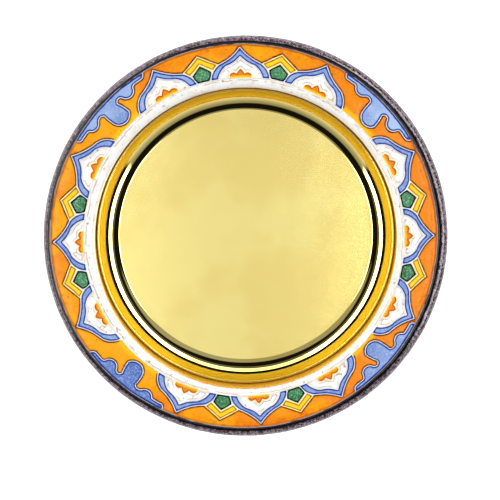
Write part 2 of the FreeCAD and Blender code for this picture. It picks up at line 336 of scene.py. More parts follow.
class Border:
    """The level border, cut into triangles along every glaze's outline."""

    def __init__(self, fields):
        self.fields = {node: loops_of(node) for node in fields}
        loops = [circle(LIP_CENTRE), circle(SHOULDER)]
        for field_loops in self.fields.values():
            loops += field_loops
        fixed = []
        edges = []
        for loop in loops:
            first = len(fixed)
            fixed += loop
            edges += [(first + i, first + (i + 1) % len(loop)) for i in range(len(loop))]
        self.tree = self.outline_tree(loops)
        free = self.free_points(loops)
        made = geometry.delaunay_2d_cdt(
            [Vector(point) for point in fixed + free], edges, [], 0, 1e-5, True
        )
        self.points = np.array([tuple(point) for point in made[0]])
        self.faces = made[2]
        self.walls = set()
        for index, sources in enumerate(made[4]):
            if sources:
                self.walls.add(frozenset(made[1][index]))
        self.gap = np.array([self.distance(point) for point in self.points])
        rim = {i for wall in self.walls for i in wall}
        self.gap[list(rim)] = 0.0
        self.regions = self.find_regions()

    @staticmethod
    def outline_tree(loops):
        samples = []
        for loop in loops:
            for start, end in zip(loop, loop[1:] + loop[:1]):
                samples += [(*between(start, end, i, 4), 0) for i in range(4)]
        tree = kdtree.KDTree(len(samples))
        for index, sample in enumerate(samples):
            tree.insert(sample, index)
        tree.balance()
        return tree

    def distance(self, point):
        return self.tree.find((point[0], point[1], 0))[2]

    def free_points(self, loops):
        """Rows of points beside every outline, then a triangular grid in the open."""
        free = []
        for loop in loops:
            count = len(loop)
            for i in range(count):
                before, here, after = loop[i - 1], loop[i], loop[(i + 1) % count]
                along = Vector((after[0] - before[0], after[1] - before[1]))
                if along.length < 1e-6:
                    continue
                across = Vector((-along.y, along.x)).normalized()
                for margin in MARGINS:
                    if margin > RIDGE_HALF and i % 2:
                        continue
                    for side in (1, -1):
                        place = Vector(here) + across * margin * side
                        if self.distance(place) > MARGIN_CLEAR * margin:
                            free.append((place.x, place.y))
        rows = int(2 * LIP_CENTRE / (GRID * ROW_STEP)) + 1
        for row in range(rows):
            y = -LIP_CENTRE + row * GRID * ROW_STEP
            for column in range(int(2 * LIP_CENTRE / GRID) + 1):
                x = -LIP_CENTRE + (column + 0.5 * (row % 2)) * GRID
                if SHOULDER < math.hypot(x, y) < LIP_CENTRE and self.distance((x, y)) > GRID_CLEAR:
                    free.append((x, y))
        return self.thinned(free)

    @staticmethod
    def thinned(points):
        """The points without those that crowd another."""
        cells = {}
        kept = []
        for x, y in points:
            cell = (int(x / CROWD_CELL), int(y / CROWD_CELL))
            near = [
                other
                for dx in (-1, 0, 1)
                for dy in (-1, 0, 1)
                for other in cells.get((cell[0] + dx, cell[1] + dy), ())
            ]
            if all(math.dist((x, y), other) > CROWD for other in near):
                cells.setdefault(cell, []).append((x, y))
                kept.append((x, y))
        return kept

    def find_regions(self):
        """Faces grouped by the field that they lie in; None is the ridges."""
        sides = {}
        for index, face in enumerate(self.faces):
            for start, end in zip(face, face[1:] + face[:1]):
                sides.setdefault(frozenset((start, end)), []).append(index)
        group = [-1] * len(self.faces)
        regions = {}
        boxes = {node: span(loops) for node, loops in self.fields.items()}
        for seed in range(len(self.faces)):
            if group[seed] >= 0:
                continue
            members = []
            waiting = [seed]
            group[seed] = seed
            while waiting:
                index = waiting.pop()
                members.append(index)
                face = self.faces[index]
                for start, end in zip(face, face[1:] + face[:1]):
                    edge = frozenset((start, end))
                    if edge in self.walls:
                        continue
                    for other in sides[edge]:
                        if group[other] < 0:
                            group[other] = seed
                            waiting.append(other)
            centre = self.points[self.faces[seed]].mean(axis=0)
            radius = math.hypot(*centre)
            if radius > LIP_CENTRE or radius < SHOULDER:
                continue
            owner = None
            for node, loops in self.fields.items():
                low_x, high_x, low_y, high_y = boxes[node]
                if low_x <= centre[0] <= high_x and low_y <= centre[1] <= high_y:
                    if inside([centre], loops)[0]:
                        owner = node
                        break
            regions.setdefault(owner, []).extend(members)
        return regions

    def surface(self, node):
        """Points, faces and edge distances of one region's upper face."""
        members = [self.faces[i] for i in self.regions[node]]
        used = sorted({i for face in members for i in face})
        renumber = {old: new for new, old in enumerate(used)}
        gap = self.gap[used]
        if node is None:
            rise = 1 - (1 - np.clip(gap / RIDGE_HALF, 0, 1)) ** 2
            level = EDGE_LEVEL + RIDGE_CREST * rise
        else:
            dip = GLAZE_DIP * (1 - np.exp(-gap / DIP_WIDTH))
            level = EDGE_LEVEL - dip + GLAZE_PILLOW * smooth(gap, *PILLOW_RISE)
        points = np.column_stack([self.points[used], level])
        faces = [[renumber[i] for i in face] for face in members]
        return points, faces, gap


def rim_edges(faces):
    """Edges with one face, in the order that the face runs."""
    uses = {}
    for face in faces:
        for start, end in zip(face, face[1:] + face[:1]):
            uses.setdefault(frozenset((start, end)), []).append((start, end))
    return [pairs[0] for pairs in uses.values() if len(pairs) == 1]


def upward(points, faces):
    """The faces, all turned to face up."""
    turned = []
    for face in faces:
        a, b, c = (points[i] for i in face[:3])
        area = (b[0] - a[0]) * (c[1] - a[1]) - (b[1] - a[1]) * (c[0] - a[0])
        turned.append(face if area > 0 else face[::-1])
    return turned


def thickened(points, faces, loops):
    """A closed solid: the upper face, walls down to the cell's floor, and the floor."""
    faces = upward(points, faces)
    rim = rim_edges(faces)
    lower = {}
    points = [tuple(point) for point in points]
    for i in sorted({i for edge in rim for i in edge}):
        lower[i] = len(points)
        points.append((points[i][0], points[i][1], CELL_FLOOR))
    walls = [[end, start, lower[start], lower[end]] for start, end in rim]
    outline = sorted(lower.values())
    place = {old: new for new, old in enumerate(outline)}
    made = geometry.delaunay_2d_cdt(
        [Vector(points[i][:2]) for i in outline],
        [(place[lower[start]], place[lower[end]]) for start, end in rim],
        [],
        1,
        1e-6,
        True,
    )
    floor = [[outline[made[3][i][0]] for i in face] for face in made[2]]
    centres = [np.mean([points[i][:2] for i in face], axis=0) for face in floor]
    floor = [face for face, kept in zip(floor, inside(centres, loops)) if kept]
    floor = [face[::-1] for face in upward(points, floor)]
    return points, faces, walls, floor


# ---------------------------------------------------------------- materials

LIGHT_LEVEL = 1.05


def tone(red, green, blue):
    """A linear colour from display values, allowing for the strength of the light."""
    channels = []
    for value in (red, green, blue):
        share = value / 255
        linear = share / 12.92 if share <= 0.04045 else ((share + 0.055) / 1.055) ** 2.4
        channels.append(min(linear / LIGHT_LEVEL, 0.95))
    return (*channels, 1.0)


class Nodes:
    """A small helper that lays out the nodes of one tree."""

    def __init__(self, tree):
        self.tree = tree

    def node(self, kind, **settings):
        made = self.tree.nodes.new(kind)
        for key, value in settings.items():
            setattr(made, key, value)
        return made

    def link(self, source, target):
        self.tree.links.new(source, target)

    def put(self, socket, value):
        if isinstance(value, bpy.types.NodeSocket):
            self.link(value, socket)
        else:
            socket.default_value = value

    def math(self, operation, first, second=0.0, third=0.0):
        made = self.node("ShaderNodeMath", operation=operation)
        for socket, value in zip(made.inputs, (first, second, third)):
            self.put(socket, value)
        return made.outputs[0]

    def times(self, first, second):
        return self.math("MULTIPLY", first, second)

    def ramp(self, value, low, high):
        """A smooth step from 0 at low to 1 at high."""
        made = self.node("ShaderNodeMapRange", interpolation_type="SMOOTHSTEP")
        self.put(made.inputs["Value"], value)
        made.inputs["From Min"].default_value = low
        made.inputs["From Max"].default_value = high
        return made.outputs["Result"]

    def within(self, value, low, high, soft):
        """1 from low to high and 0 outside, with edges that are soft to either side."""
        rise = self.ramp(value, low - soft, low + soft)
        return self.times(rise, self.ramp(value, high + soft, high - soft))

    def parts(self, vector):
        """The X, Y and Z of a vector."""
        made = self.node("ShaderNodeSeparateXYZ")
        self.link(vector, made.inputs[0])
        return made.outputs


class Paint(Nodes):
    """The nodes of one material. Noise scales are to a metre, gaps and rings in millimetres."""

    def __init__(self, name, roughness, gloss=0.5, metallic=0.0):
        self.material = bpy.data.materials.new(name)
        self.material.use_nodes = True
        super().__init__(self.material.node_tree)
        self.shader = self.tree.nodes["Principled BSDF"]
        self.shader.inputs["Roughness"].default_value = roughness
        self.shader.inputs["Specular IOR Level"].default_value = gloss
        self.shader.inputs["Metallic"].default_value = metallic
        self.place = self.node("ShaderNodeTexCoord").outputs["Object"]

    def noise(self, scale, detail, vector=None):
        made = self.node("ShaderNodeTexNoise")
        self.put(made.inputs["Vector"], vector or self.place)
        made.inputs["Scale"].default_value = scale
        made.inputs["Detail"].default_value = detail
        return made.outputs["Fac"]

    def wavered(self, value, scale, detail, amount):
        """The value with a noise added, which moves it by up to half the amount either way."""
        noise_part = self.math("MULTIPLY_ADD", self.noise(scale, detail), amount, -amount / 2)
        return self.math("ADD", value, noise_part)

    def mix(self, share, first, second):
        made = self.node("ShaderNodeMix", data_type="RGBA")
        self.put(made.inputs["Factor"], share)
        self.put(made.inputs["A"], first)
        self.put(made.inputs["B"], second)
        return made.outputs["Result"]

    def attribute(self, name):
        return self.node("ShaderNodeAttribute", attribute_name=name).outputs["Fac"]

    def radius(self):
        """Distance from the plate's axis, in millimetres."""
        parts = self.parts(self.place)
        flat = self.node("ShaderNodeCombineXYZ")
        self.link(parts["X"], flat.inputs["X"])
        self.link(parts["Y"], flat.inputs["Y"])
        length = self.node("ShaderNodeVectorMath", operation="LENGTH")
        self.link(flat.outputs[0], length.inputs[0])
        return self.math("DIVIDE", length.outputs["Value"], MM)

    def spokes(self, outward, around):
        """Coordinates for marks drawn out radially: outward to a millimetre, around to a radian."""
        parts = self.parts(self.place)
        turn = self.math("ARCTAN2", parts["Y"], parts["X"])
        made = self.node("ShaderNodeCombineXYZ")
        self.link(self.times(turn, around), made.inputs["X"])
        self.link(self.times(self.radius(), outward), made.inputs["Y"])
        return made.outputs[0]

    def colour(self, value):
        self.put(self.shader.inputs["Base Color"], value)

    def bump(self, value, depth_mm):
        """Fine relief, on top of any that the shader has already."""
        made = self.node("ShaderNodeBump")
        made.inputs["Distance"].default_value = depth_mm * MM
        self.link(value, made.inputs["Height"])
        if self.shader.inputs["Normal"].links:
            self.link(self.shader.inputs["Normal"].links[0].from_socket, made.inputs["Normal"])
        self.link(made.outputs["Normal"], self.shader.inputs["Normal"])


def glaze(name, deep, main, pale, rim, rim_width, speck):
    """A glossy glaze that pools darker beside the ridges, with soft hue changes across it."""
    paint = Paint(name, 0.12, gloss=0.25)
    drift = paint.ramp(paint.noise(90, 3), 0.36, 0.64)
    body = paint.mix(drift, main, pale)
    body = paint.mix(paint.attribute("shade"), body, deep)
    dots = paint.ramp(paint.noise(1300, 2), 0.5, 0.64)
    body = paint.mix(paint.times(dots, 0.4), body, speck)
    gap = paint.wavered(paint.attribute("gap"), 500, 2, 0.5)
    line = paint.ramp(gap, rim_width, rim_width * 0.5)
    paint.colour(paint.mix(line, body, rim))
    paint.bump(paint.noise(260, 3), 0.05)
    paint.bump(paint.noise(1500, 2), 0.012)
    return paint.material


def orange_glaze():
    """Orange, yellower westward and beside the white ring, burnt brown along the ridges."""
    paint = Paint("orange_glaze", 0.12, gloss=0.2)
    lean = paint.times(paint.parts(paint.place)["X"], -1.8)
    drift = paint.ramp(paint.math("ADD", paint.noise(45, 4), lean), 0.42, 0.62)
    body = paint.mix(drift, tone(240, 132, 6), tone(248, 166, 2))
    near_base = paint.ramp(paint.attribute("ring"), 84.2, 81.5)
    body = paint.mix(paint.times(near_base, 0.9), body, tone(253, 202, 14))
    grain = paint.ramp(paint.noise(1500, 2), 0.5, 0.68)
    body = paint.mix(paint.times(grain, 0.35), body, tone(252, 186, 20))
    burn = paint.ramp(paint.noise(640, 4), 0.6, 0.72)
    body = paint.mix(paint.times(burn, 0.45), body, tone(212, 96, 8))
    outer = paint.ramp(paint.attribute("ring"), 92.0, 96.0)
    scorch = paint.times(outer, paint.ramp(paint.noise(330, 4), 0.52, 0.66))
    body = paint.mix(paint.times(scorch, 0.45), body, tone(186, 78, 10))
    spots = paint.ramp(paint.noise(900, 1), 0.745, 0.78)
    body = paint.mix(spots, body, tone(120, 64, 30))
    gap = paint.wavered(paint.attribute("gap"), 420, 2, 0.7)
    away = paint.ramp(paint.attribute("ring"), 81.4, 82.2)
    halo = paint.times(paint.ramp(gap, 1.3, 0.6), away)
    body = paint.mix(paint.times(halo, 0.5), body, tone(206, 88, 10))
    inward = paint.ramp(paint.attribute("ring"), 96.7, 96.1)
    line = paint.times(paint.times(paint.ramp(gap, 0.72, 0.34), away), inward)
    paint.colour(paint.mix(line, body, tone(66, 22, 6)))
    paint.bump(paint.noise(260, 3), 0.06)
    paint.bump(paint.noise(1500, 2), 0.015)
    return paint.material


def crown_glaze():
    """Orange crowns with a yellow foot and a scorched outline."""
    paint = Paint("crown_glaze", 0.12, gloss=0.25)
    ring = paint.wavered(paint.attribute("ring"), 420, 2, 1.2)
    body = paint.mix(paint.ramp(ring, 81.0, 82.1), tone(254, 200, 10), tone(238, 128, 8))
    away = paint.ramp(paint.attribute("ring"), 81.3, 82.3)
    line = paint.times(paint.ramp(paint.attribute("gap"), 0.75, 0.25), away)
    paint.colour(paint.mix(line, body, tone(170, 58, 10)))
    paint.bump(paint.noise(260, 3), 0.05)
    return paint.material


def white_glaze():
    """Tin white with tan lines by the ridges, drawn-out pin marks and a painted amber reflection of the gold
    on the wall of the well.
    """
    paint = Paint("white_glaze", 0.1, gloss=0.5)
    cloudy = paint.ramp(paint.noise(240, 4), 0.48, 0.68)
    body = paint.mix(paint.times(cloudy, 0.6), tone(255, 255, 253), tone(240, 232, 222))
    gap = paint.attribute("gap")
    off_line = paint.math("ABSOLUTE", paint.math("SUBTRACT", paint.wavered(gap, 300, 2, 0.8), 0.85))
    contour = paint.times(paint.ramp(off_line, 0.35, 0.12), paint.ramp(paint.noise(180, 2), 0.38, 0.55))
    body = paint.mix(paint.times(contour, 0.85), body, tone(190, 168, 146))
    marks = paint.ramp(paint.noise(560, 2), 0.65, 0.7)
    inner = paint.ramp(gap, 4.0, 1.0)
    body = paint.mix(paint.times(paint.times(marks, inner), 0.85), body, tone(168, 138, 112))
    ticks = paint.times(paint.ramp(paint.noise(1.0, 2, paint.spokes(0.55, 60.0)), 0.62, 0.76), 0.6)
    around = paint.ramp(paint.attribute("ring"), 81.5, 80.6)
    body = paint.mix(paint.times(ticks, around), body, tone(206, 176, 142))
    seam = paint.math("ABSOLUTE", paint.math("SUBTRACT", gap, 0.1))
    edge = paint.times(paint.ramp(seam, 0.5, 0.1), paint.ramp(paint.noise(150, 3), 0.36, 0.56))
    body = paint.mix(paint.times(edge, 0.5), body, tone(214, 196, 160))
    # Painted reflection: the gold dish's amber reflection on the well's wall, laid on as a tint with darker
    # speckles.
    gold_reflection = paint.attribute("gold_reflection")
    fade = paint.wavered(gold_reflection, 800, 3, 0.9)
    amber_reflection = paint.mix(paint.ramp(paint.noise(1300, 2), 0.55, 0.7), tone(236, 176, 50), tone(164, 100, 34))
    share = paint.times(paint.ramp(fade, 0.3, 0.7), paint.ramp(gold_reflection, 0.05, 0.2))
    paint.colour(paint.mix(share, body, amber_reflection))
    paint.bump(paint.noise(260, 3), 0.05)
    return paint.material


def green_glaze():
    return glaze(
        "green_glaze", tone(28, 88, 48), tone(42, 114, 66), tone(74, 146, 96), tone(2, 14, 6), 1.0,
        tone(168, 224, 190),
    )


def yellow_glaze():
    return glaze(
        "yellow_glaze", tone(246, 190, 8), tone(252, 206, 6), tone(254, 222, 30), tone(190, 112, 10), 0.7,
        tone(255, 226, 60),
    )


def blue_glaze():
    return glaze(
        "blue_glaze", tone(76, 110, 184), tone(144, 172, 224), tone(172, 196, 236), tone(26, 56, 150), 0.9,
        tone(190, 210, 242),
    )


def lip_glaze():
    """Purple-black manganese, broken up by brown and grey, black along its inner edge."""
    paint = Paint("manganese_glaze", 0.1, gloss=0.65)
    body = paint.mix(paint.ramp(paint.noise(620, 5), 0.44, 0.58), tone(18, 9, 18), tone(132, 112, 130))
    brown = paint.ramp(paint.noise(900, 3), 0.56, 0.62)
    body = paint.mix(paint.times(brown, 0.8), body, tone(112, 76, 44))
    dots = paint.ramp(paint.noise(1600, 2), 0.58, 0.66)
    body = paint.mix(paint.times(dots, 0.8), body, tone(206, 186, 206))
    pits = paint.ramp(paint.noise(1100, 1), 0.4, 0.34)
    body = paint.mix(pits, body, tone(14, 8, 12))
    black = paint.ramp(paint.wavered(paint.attribute("gap"), 260, 3, 1.6), 2.4, 1.3)
    paint.colour(paint.mix(black, body, tone(12, 7, 10)))
    paint.bump(paint.noise(420, 3), 0.1)
    return paint.material


def clay():
    paint = Paint("fired_clay", 0.75)
    body = paint.mix(paint.ramp(paint.noise(60, 4), 0.35, 0.65), tone(224, 204, 172), tone(206, 182, 148))
    grit = paint.ramp(paint.noise(1600, 3), 0.6, 0.7)
    paint.colour(paint.mix(paint.times(grit, 0.5), body, tone(160, 128, 98)))
    paint.bump(paint.noise(900, 4), 0.06)
    return paint.material


def ridge_clay():
    """The ridge tops: thin pale glaze that takes a tint from the field beside it. By the lip they turn dark,
    with a painted highlight broken along their crests.
    """
    paint = Paint("ridge_glaze", 0.15, gloss=0.4)
    body = paint.mix(paint.ramp(paint.noise(500, 2), 0.4, 0.6), tone(255, 252, 244), tone(244, 232, 208))
    body = paint.mix(paint.times(paint.attribute("blueness"), 0.75), body, tone(238, 244, 255))
    body = paint.mix(paint.times(paint.attribute("yellowness"), 0.7), body, tone(255, 240, 130))
    # Painted highlight: by the lip the ridges turn dark, and a broken pale line along their crests stands for
    # light caught on them.
    broken = paint.ramp(paint.noise(120, 3), 0.34, 0.5)
    crest_highlight = paint.times(broken, paint.ramp(paint.attribute("gap"), 0.1, 0.2))
    dark_ridge_and_highlight = paint.mix(crest_highlight, tone(20, 12, 16), tone(216, 206, 218))
    dark = paint.attribute("darkness")
    body = paint.mix(dark, body, dark_ridge_and_highlight)
    line = paint.times(dark, paint.ramp(paint.attribute("gap"), 0.16, 0.04))
    paint.colour(paint.mix(line, body, tone(24, 14, 18)))
    paint.bump(paint.noise(900, 2), 0.02)
    return paint.material


def gold():
    """Gilding: a softly polished floor, a mirror cove and a satin wall, painted a deeper colour as a
    reflection of the gilt surfaces in each other.
    """
    paint = Paint("gilt_brass", 0.05, metallic=1.0)
    radius = paint.radius()
    wall = paint.times(paint.ramp(radius, 71.3, 72.0), paint.ramp(radius, 74.7, 74.3))
    warm = paint.ramp(paint.noise(22, 3), 0.4, 0.62)
    bright = paint.mix(warm, (0.88, 0.75, 0.27, 1), (0.84, 0.67, 0.22, 1))
    # Painted reflection: the wall's deeper, redder gold stands for light bounced back and forth between the
    # gilt surfaces.
    paint.colour(paint.mix(wall, bright, (1.0, 0.68, 0.035, 1)))
    flat = paint.ramp(radius, 64.6, 64.0)
    grain = paint.times(paint.times(flat, paint.noise(900, 2)), 0.12)
    roughness = paint.math("MULTIPLY_ADD", wall, 0.48, paint.math("ADD", grain, 0.04))
    paint.put(paint.shader.inputs["Roughness"], roughness)
    paint.bump(paint.noise(34, 2), 0.10)
    rings = paint.math("SINE", paint.times(radius, 9.0))
    paint.bump(rings, 0.0003)
    return paint.material


def cement():
    paint = Paint("adhesive", 0.8)
    paint.colour(paint.mix(paint.noise(300, 3), tone(208, 204, 190), tone(188, 182, 166)))
    paint.bump(paint.noise(500, 3), 0.05)
    return paint.material


MATERIALS = {
    "fired_clay": clay(),
    "ridge_glaze": ridge_clay(),
    "manganese_glaze": lip_glaze(),
    "white_glaze": white_glaze(),
    "orange_glaze": orange_glaze(),
    "blue_glaze": blue_glaze(),
    "green_glaze": green_glaze(),
    "yellow_glaze": yellow_glaze(),
    "crown_glaze": crown_glaze(),
    "gilt_brass": gold(),
    "adhesive": cement(),
}


# ---------------------------------------------------------------- pieces

def field_nodes():
    """Every glaze field of the border with its material slot."""
    return {
        entry["node"]: entry["material_slot"]
        for entry in frame["record"]["subparts"]
        if abs(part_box(entry["node"])[0].z / MM - CELL_FLOOR) < 0.01
    }


def make_fields(border, fields):
    """One closed piece for each glaze field; the ridged clay body gets their cells."""
    cells = []
    for node, slot in fields.items():
        points, faces, gap = border.surface(node)
        solid, top, walls, floor = thickened(points, faces, border.fields[node])
        cells.append((solid, walls, floor))
        extra = len(solid) - len(points)
        piece = new_piece(
            node + "_coat", warped(solid), top + walls + floor, [MATERIALS[slot]], [node]
        )
        set_attribute(piece, "gap", list(gap) + [0.0] * extra)
        set_attribute(piece, "shade", shade_of(node, np.array(solid)))
        set_attribute(piece, "ring", np.hypot(*np.array(solid).T[:2]))
        sharpen(piece)
    return cells


def shade_of(node, points):
    """How deep a field's colour lies. The clouds differ, and are deeper in their inner lobes."""
    radius = np.hypot(points[:, 0], points[:, 1])
    if node.startswith("blue_cloud"):
        base = {"northeast": 0.05, "northwest": 0.3, "southwest": 0.85, "southeast": 0.4}
        lobe = 0.35 * smooth(radius, 92.0, 85.0)
        return np.clip(base[node.split("_")[-1]] + lobe, 0, 1)
    if node.startswith("petal_border"):
        return np.full(len(points), 0.35 if "north" in node else 0.5)
    return np.full(len(points), 0.3)


def sharpen(piece):
    """Edges steeper than a glaze's own slopes are shaded sharp."""
    piece.data.set_sharp_from_angle(angle=SHARP_ANGLE)


def make_body(border, cells):
    outer = joined(
        run((0, BASE_RECESS), (FOOT_INNER, BASE_RECESS), 12),
        run((FOOT_INNER, BASE_RECESS), (FOOT_INNER + FOOT_DRAFT, 0), 4),
        run((FOOT_INNER + FOOT_DRAFT, 0), (FOOT_OUTER - FOOT_DRAFT, 0), 3),
        run((FOOT_OUTER - FOOT_DRAFT, 0), (FOOT_OUTER, BORDER - BOWL_ROUND + COAT), 4),
        outside(COAT),
        [(LIP_CENTRE, EDGE_LEVEL)],
    )
    inner = joined(
        [(SHOULDER, EDGE_LEVEL)],
        bend((SHOULDER, BORDER - SHOULDER_ROUND), SHOULDER_ROUND - COAT, 90, 180, 8),
        run((WELL_WALL + COAT, BORDER - SHOULDER_ROUND), (WELL_WALL + COAT, WELL_FLOOR + WELL_CORNER), 4),
        bend((WELL_WALL + COAT - WELL_CORNER, WELL_FLOOR + WELL_CORNER), WELL_CORNER, 0, -90, 6),
        run((WELL_WALL + COAT - WELL_CORNER, WELL_FLOOR), (0, WELL_FLOOR), 8),
    )
    points = []
    faces = []
    indices = []
    for profile in (outer, inner):
        made, strips = lathe(profile, False)
        faces += [[i + len(points) for i in face] for face in strips]
        indices += [0] * len(strips)
        points += made
    ridge_points, ridge_faces, ridge_gap = border.surface(None)
    ridge_faces = upward(ridge_points, ridge_faces)
    first = len(points)
    faces += [[i + first for i in face] for face in ridge_faces]
    indices += [1] * len(ridge_faces)
    points += [tuple(point) for point in ridge_points]
    gaps = [0.0] * first + list(ridge_gap)
    for solid, walls, floor in cells:
        start = len(points)
        points += solid
        gaps += [0.0] * len(solid)
        faces += [[i + start for i in face[::-1]] for face in walls + floor]
        indices += [0] * (len(walls) + len(floor))
    piece = new_piece(
        "ceramic_plate",
        warped(points),
        faces,
        [MATERIALS["fired_clay"], MATERIALS["ridge_glaze"]],
        ["ceramic_body"],
        indices,
    )
    tints = ridge_tints(border, np.array(points))
    set_attribute(piece, "blueness", tints[0])
    set_attribute(piece, "yellowness", tints[1])
    radius = np.hypot(*np.array(points).T[:2])
    set_attribute(piece, "darkness", smooth(radius, LIP_CENTRE - DARK_START, LIP_CENTRE - DARK_FULL))
    set_attribute(piece, "gap", gaps)
    weld(piece)
    sharpen(piece)


def ridge_tints(border, points):
    """For each point, whether the nearest coloured outline is a blue or a yellow field's."""
    samples = []
    for node, loops in border.fields.items():
        kind = "blue" if node.startswith(("blue", "petal_border")) else ""
        kind = "yellow" if node.startswith(("yellow", "crown")) else kind
        if kind:
            samples += [(point, kind) for loop in loops for point in loop]
    tree = kdtree.KDTree(len(samples))
    for index, (point, kind) in enumerate(samples):
        tree.insert((point[0], point[1], 0), index)
    tree.balance()
    blueness = np.zeros(len(points))
    yellowness = np.zeros(len(points))
    for row, (x, y, z) in enumerate(points):
        if z < EDGE_LEVEL - 0.01:
            continue
        index, away = tree.find((x, y, 0))[1:]
        if away < TINT_REACH:
            target = blueness if samples[index][1] == "blue" else yellowness
            target[row] = 1.0
    return blueness, yellowness


def weld(piece):
    """Joins the parts of a mesh that meet point to point, and drops loose points."""
    shape = bmesh.new()
    shape.from_mesh(piece.data)
    bmesh.ops.remove_doubles(shape, verts=shape.verts, dist=WELD * MM)
    loose = [vertex for vertex in shape.verts if not vertex.link_faces]
    bmesh.ops.delete(shape, geom=loose, context="VERTS")
    bmesh.ops.recalc_face_normals(shape, faces=shape.faces)
    shape.to_mesh(piece.data)
    shape.free()


def make_lip():
    outer = outside(0.0)
    clay_side = outside(COAT)
    start = nearest(outer, (LIP_CENTRE, FLANGE))
    first = nearest(clay_side, (LIP_CENTRE, FLANGE + COAT))
    crest_highlight = [(LIP_CENTRE, EDGE_LEVEL)]
    section = joined(outer[start:-1], crest_highlight, clay_side[first:-1][::-1])
    points, faces = lathe(section, True)
    gap = np.hypot(*np.array(points).T[:2]) - LIP_CENTRE
    points = rough_lip(points)
    piece = new_piece(
        "lip_coat", warped(points), faces, [MATERIALS["manganese_glaze"]], ["lip_glaze"]
    )
    set_attribute(piece, "gap", gap)
    sharpen(piece)


def rough_lip(points):
    """The thick dark glaze stands in low swellings along the lip."""
    moved = []
    for x, y, z in points:
        radius = math.hypot(x, y)
        out = max(0.0, min(1.0, (radius - LIP_CENTRE - SWELL_START) / SWELL_FADE))
        if math.dist((radius, z), (LIP_CENTRE, LIP_HEIGHT)) < LIP_ROUND - COAT / 2:
            out = 0.0
        place = Vector((x, y, z))
        broad = noise.noise(place * BROAD_WAVE) * BROAD_SWELL
        swell = broad + noise.noise(place * FINE_WAVE) * FINE_SWELL
        scale = 1 + out * (swell - SWELL_SINK) / radius
        moved.append((x * scale, y * scale, z + out * swell * SWELL_LIFT))
    return moved


def make_shoulder():
    centre = (SHOULDER, BORDER - SHOULDER_ROUND)
    section = joined(
        [(SHOULDER, EDGE_LEVEL)],
        bend(centre, SHOULDER_ROUND, 95, 180, 22)[1:],
        run((WELL_WALL, centre[1]), (WELL_WALL, WELL_FLOOR + WELL_CORNER), 6),
        run((WELL_WALL, WELL_FLOOR + WELL_CORNER), (WELL_WALL + COAT, WELL_FLOOR + WELL_CORNER), 1),
        run((WELL_WALL + COAT, WELL_FLOOR + WELL_CORNER), (WELL_WALL + COAT, centre[1]), 4),
        bend(centre, SHOULDER_ROUND - COAT, 180, 95, 8)[:-1],
    )
    points, faces = lathe(section, True)
    piece = new_piece(
        "shoulder_coat", warped(points), faces, [MATERIALS["white_glaze"]], ["shoulder_glaze"]
    )
    radius = np.hypot(*np.array(points).T[:2])
    height = np.array(points)[:, 2]
    set_attribute(piece, "gap", np.where(height > BORDER - SHOULDER_TOP, SHOULDER - radius, FAR_GAP))
    set_attribute(piece, "ring", radius)
    # Painted reflection of the gold: where the amber tint lies on the well's wall, higher on the south half.
    lean = GOLD_REFLECTION_LEAN * (np.array(points)[:, 1] / radius)
    set_attribute(piece, "gold_reflection", smooth(height, BORDER - GOLD_REFLECTION_START - lean, BORDER - GOLD_REFLECTION_FULL - lean))
    sharpen(piece)


def make_back():
    outer = outside(0.0)
    clay_side = outside(COAT)
    last = nearest(outer, (LIP_CENTRE, FLANGE))
    end = nearest(clay_side, (LIP_CENTRE, FLANGE + COAT))
    points, faces = lathe(joined(outer[: last + 1], clay_side[: end + 1][::-1]), True)
    piece = new_piece(
        "back_coat", points, faces, [MATERIALS["white_glaze"]], ["back_glaze"]
    )
    set_attribute(piece, "gap", [FAR_GAP] * len(points))
    set_attribute(piece, "ring", [LIP_OUTER] * len(points))
    sharpen(piece)


def cove_face(cove):
    """The polished side of the cove: a crisp edge round the floor, then one arc up to the wall."""
    tilt = math.radians(CREASE_SLOPE)
    turned = CREASE / math.tan(tilt / 2)
    edge = bend((DISH_FLAT - CREASE, DISH_FLOOR + turned), turned, -90, -90 + CREASE_SLOPE, 5)
    end = (cove[0] + DISH_COVE * math.sin(DISH_SLOPE), cove[1] - DISH_COVE * math.cos(DISH_SLOPE))
    chord = Vector(end) - Vector(edge[-1])
    turn = 2 * (math.atan2(chord.y, chord.x) - tilt)
    radius = chord.length / 2 / math.sin(turn / 2)
    centre = (edge[-1][0] - radius * math.sin(tilt), edge[-1][1] + radius * math.cos(tilt))
    return joined(edge, bend(centre, radius, -90 + CREASE_SLOPE, -90 + CREASE_SLOPE + math.degrees(turn), 40))


def make_dish():
    cove = (DISH_FLAT, DISH_FLOOR + DISH_COVE)
    sine = math.sin(DISH_SLOPE)
    cosine = math.cos(DISH_SLOPE)
    middle = DISH_COVE + SHEET_METAL / 2
    bead = (cove[0] + middle * sine + DISH_WALL * cosine, cove[1] - middle * cosine + DISH_WALL * sine)
    neck = math.degrees(math.asin(SHEET_METAL / 2 / BEAD))
    back = math.degrees(DISH_SLOPE) - 180
    slope = math.degrees(DISH_SLOPE)
    section = joined(
        run((0, DISH_UNDER), (DISH_FLAT, DISH_UNDER), 8),
        bend(cove, DISH_COVE + SHEET_METAL, -90, -90 + slope, 12),
        bend(bead, BEAD, back + neck, back + 360 - neck, 28),
        cove_face(cove)[::-1],
        run((DISH_FLAT - CREASE, DISH_FLOOR), (0, DISH_FLOOR), 24),
    )
    points, faces = lathe(section, False, DISH_SEGMENTS)
    piece = new_piece("gilt_dish_spun", points, faces, [MATERIALS["gilt_brass"]], ["gilt_dish"])
    weld(piece)


fields = field_nodes()
border = Border(fields)
cells = make_fields(border, fields)
make_body(border, cells)
make_lip()
make_shoulder()
make_back()
make_dish()
frame["nodes"]["adhesive_bed"].material_slots[0].material = MATERIALS["adhesive"]


# ---------------------------------------------------------------- floor, light and camera

# In metres, as the camera's distance and aim are.
FLOOR_HALF = 3


